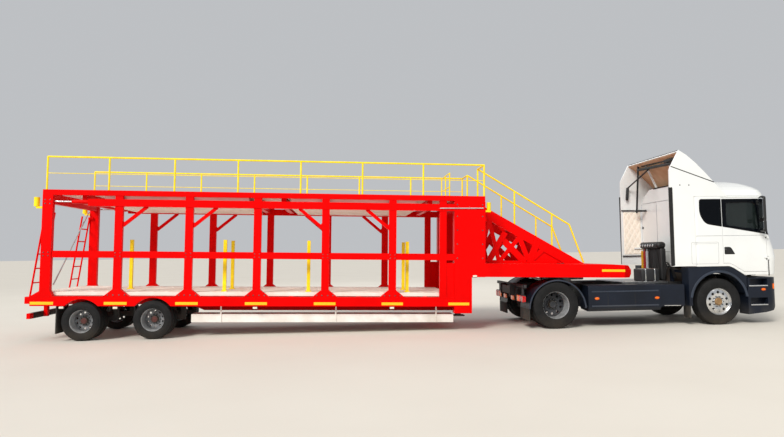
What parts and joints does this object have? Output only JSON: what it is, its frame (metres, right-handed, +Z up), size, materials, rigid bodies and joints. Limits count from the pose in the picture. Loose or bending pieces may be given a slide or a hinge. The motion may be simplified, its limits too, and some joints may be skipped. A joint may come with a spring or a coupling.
{
  "type": "car transporter truck",
  "caption": "Articulated car transporter: a white tractor unit with a red two-deck trailer of open frames, handrails, stairway and loading ramps, hinged at its fifth wheel.",
  "frame": {"origin": "on the ground, in the middle of the standing lorry's length and width", "axes": "+X forwards to the cab, +Y to the left, +Z up"},
  "size_m": [16.2834, 3.01, 3.895],
  "materials": {
    "bare_steel": "satin",
    "black_plastic": "matte",
    "bright_rim": "polished",
    "cast_iron": "rough",
    "cream_paint": "satin",
    "frame_paint": "satin",
    "glass": "clear",
    "grey_rim": "satin",
    "interior": "matte",
    "lamp": "gloss",
    "red_paint": "gloss",
    "rubber": "matte",
    "seat_fabric": "woven",
    "skirt_paint": "satin",
    "tyre": "matte",
    "white_paint": "gloss",
    "yellow_paint": "gloss"
  },
  "bodies": {
    "tractor": {"air_lines": "rubber", "catwalk": "frame_paint", "chassis_frame": "frame_paint", "drive_axle": "cast_iron", "engine_block": "cast_iron", "fifth_wheel": "cast_iron", "front_axle": "cast_iron", "front_bumper": "skirt_paint", "side_skirts": "skirt_paint", "truck_fenders": "skirt_paint", "truck_lamps": "lamp"},
    "cab": {"cab_glass": "glass", "cab_shell": "white_paint", "dashboard": "interior", "grille": "black_plastic", "roof_deflector": "white_paint", "seats": "seat_fabric", "side_fairings": "white_paint"},
    "trailer": {"gooseneck": "red_paint", "handrails": "yellow_paint", "king_pin": "bare_steel", "landing_legs": "frame_paint", "lower_deck": "cream_paint", "side_frame_left": "red_paint", "side_frame_right": "red_paint", "stairs_ladders": "red_paint", "stanchions": "yellow_paint", "stays": "bare_steel", "stowed_ramps": "cream_paint", "trailer_axles": "cast_iron", "trailer_flaps": "rubber", "trailer_frame": "red_paint", "trailer_lamps": "lamp", "upper_deck": "cream_paint", "upper_frame": "red_paint"},
    "door_left": {"door_glass_left": "glass", "door_left": "white_paint", "mirror_left": "black_plastic"},
    "door_right": {"door_glass_right": "glass", "door_right": "white_paint", "mirror_right": "black_plastic"},
    "drive_wheel_left": {"drive_rim_left": "grey_rim", "drive_tyre_left": "tyre"},
    "drive_wheel_right": {"drive_rim_right": "grey_rim", "drive_tyre_right": "tyre"},
    "front_wheel_left": {"front_rim_left": "bright_rim", "front_tyre_left": "tyre"},
    "front_wheel_right": {"front_rim_right": "bright_rim", "front_tyre_right": "tyre"},
    "knuckle_left": {"knuckle_left": "cast_iron"},
    "knuckle_right": {"knuckle_right": "cast_iron"},
    "tie_rod": {"tie_rod": "bare_steel"},
    "trailer_fore_wheel_left": {"trailer_fore_rim_left": "grey_rim", "trailer_fore_tyre_left": "tyre"},
    "trailer_fore_wheel_right": {"trailer_fore_rim_right": "grey_rim", "trailer_fore_tyre_right": "tyre"},
    "trailer_rear_wheel_left": {"trailer_rear_rim_left": "grey_rim", "trailer_rear_tyre_left": "tyre"},
    "trailer_rear_wheel_right": {"trailer_rear_rim_right": "grey_rim", "trailer_rear_tyre_right": "tyre"}
  },
  "joints": [
    {"name": "articulation", "type": "hinge", "parent": "tractor", "child": "trailer", "pos_m": [3.48023, 0, 1.066], "axis": [0, 0, 1], "range_deg": [-60, 60]},
    {"name": "cab_tilt", "type": "hinge", "parent": "tractor", "child": "cab", "pos_m": [7.99524, 0, 1.06], "axis": [0, 1, 0], "range_deg": [0, 55]},
    {"name": "door_left_hinge", "type": "hinge", "parent": "cab", "child": "door_left", "pos_m": [7.79223, 1.244, 1.6], "axis": [0, 0, -1], "range_deg": [0, 70]},
    {"name": "door_right_hinge", "type": "hinge", "parent": "cab", "child": "door_right", "pos_m": [7.79223, -1.244, 1.6], "axis": [0, 0, 1], "range_deg": [0, 70]},
    {"name": "steer_left", "type": "hinge", "parent": "tractor", "child": "knuckle_left", "pos_m": [6.60923, 0.955, 0.509], "axis": [0, 0, 1], "range_deg": [-35, 35]},
    {"name": "steer_right", "type": "hinge", "parent": "tractor", "child": "knuckle_right", "pos_m": [6.60923, -0.955, 0.509], "axis": [0, 0, 1], "range_deg": [-35, 35]},
    {"name": "tie_rod_pivot", "type": "hinge", "parent": "knuckle_left", "child": "tie_rod", "pos_m": [6.43924, 0.955, 0.397], "axis": [0, 0, 1], "range_deg": [-35, 35]},
    {"name": "front_wheel_left_spin", "type": "hinge", "parent": "knuckle_left", "child": "front_wheel_left", "pos_m": [6.60923, 1.0875, 0.509], "axis": [0, 1, 0], "continuous": true},
    {"name": "drive_wheel_left_spin", "type": "hinge", "parent": "tractor", "child": "drive_wheel_left", "pos_m": [2.90923, 0.918, 0.509], "axis": [0, 1, 0], "continuous": true},
    {"name": "trailer_rear_wheel_left_spin", "type": "hinge", "parent": "trailer", "child": "trailer_rear_wheel_left", "pos_m": [-7.01677, 0.996, 0.396], "axis": [0, 1, 0], "continuous": true},
    {"name": "trailer_fore_wheel_left_spin", "type": "hinge", "parent": "trailer", "child": "trailer_fore_wheel_left", "pos_m": [-5.60177, 0.996, 0.396], "axis": [0, 1, 0], "continuous": true},
    {"name": "front_wheel_right_spin", "type": "hinge", "parent": "knuckle_right", "child": "front_wheel_right", "pos_m": [6.60923, -1.0875, 0.509], "axis": [0, 1, 0], "continuous": true},
    {"name": "drive_wheel_right_spin", "type": "hinge", "parent": "tractor", "child": "drive_wheel_right", "pos_m": [2.90923, -0.918, 0.509], "axis": [0, 1, 0], "continuous": true},
    {"name": "trailer_rear_wheel_right_spin", "type": "hinge", "parent": "trailer", "child": "trailer_rear_wheel_right", "pos_m": [-7.01677, -0.996, 0.396], "axis": [0, 1, 0], "continuous": true},
    {"name": "trailer_fore_wheel_right_spin", "type": "hinge", "parent": "trailer", "child": "trailer_fore_wheel_right", "pos_m": [-5.60177, -0.996, 0.396], "axis": [0, 1, 0], "continuous": true}
  ],
  "couplings": [
    {"joint": "steer_right", "follows": "steer_left", "ratio": 1},
    {"joint": "tie_rod_pivot", "follows": "steer_left", "ratio": -1}
  ]
}
